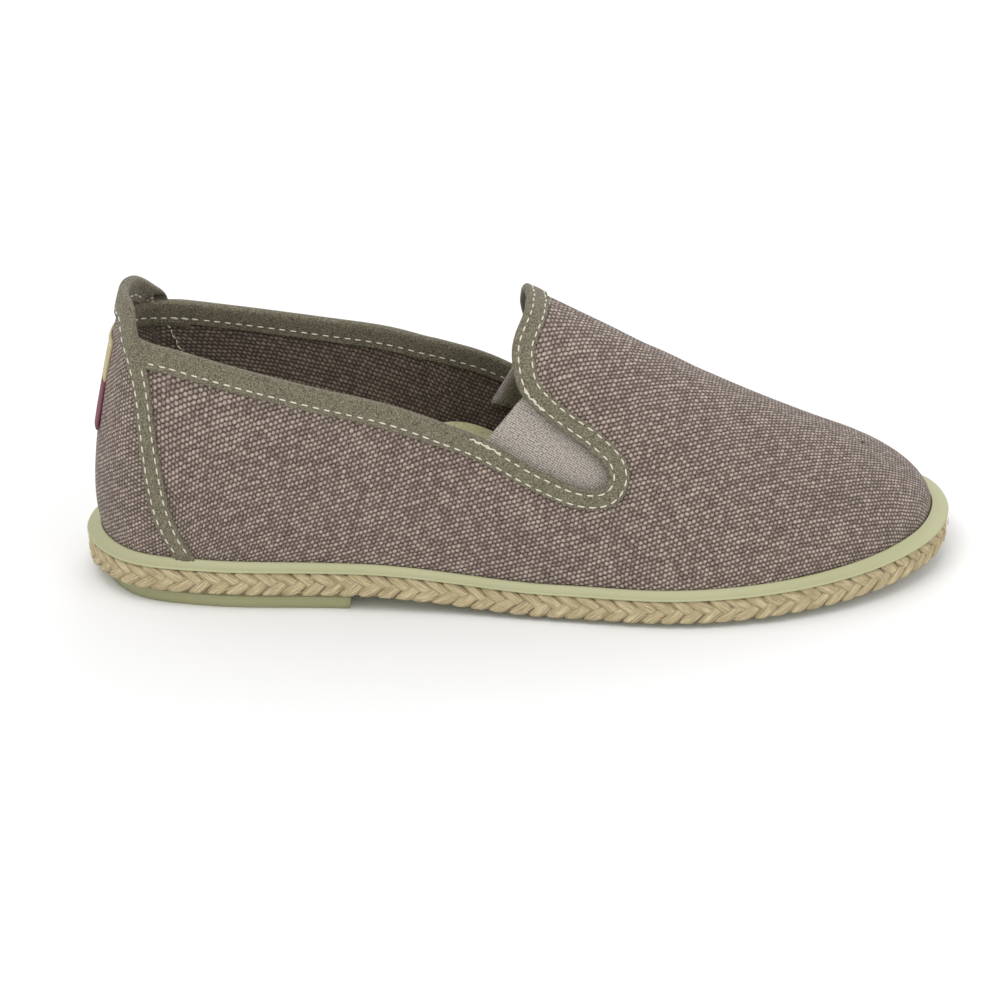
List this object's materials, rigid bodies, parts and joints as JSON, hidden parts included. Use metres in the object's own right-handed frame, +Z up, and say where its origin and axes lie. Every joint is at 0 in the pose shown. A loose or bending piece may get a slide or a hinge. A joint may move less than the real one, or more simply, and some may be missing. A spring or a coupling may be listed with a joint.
{
  "type": "espadrille",
  "caption": "Right slip-on canvas espadrille with taped collar, elastic side gores, a heel pull tab and a moulded rubber sole with a jute braid round its side.",
  "frame": {"origin": "centre of the shoe's length and width, on the floor under the sole", "axes": "+X from heel to toe, +Y to the medial side, +Z up"},
  "size_m": [0.284, 0.101, 0.1012],
  "materials": {
    "sole_rubber": "matte moulded rubber",
    "jute": "plaited plant fibre",
    "insole_fabric": "matte woven cover",
    "canvas": "coarse plain weave",
    "cotton_tape": "fine matte twill",
    "elastic": "ribbed elastic",
    "label": "smooth woven ribbon, plain"
  },
  "bodies": {
    "root": {"outsole": "sole_rubber", "jute_braid": "jute", "insole": "insole_fabric", "upper": "canvas", "collar_tape": "cotton_tape", "heel_tape": "cotton_tape", "gore_lateral": "elastic", "gore_medial": "elastic", "heel_label": "label"}
  },
  "joints": []
}
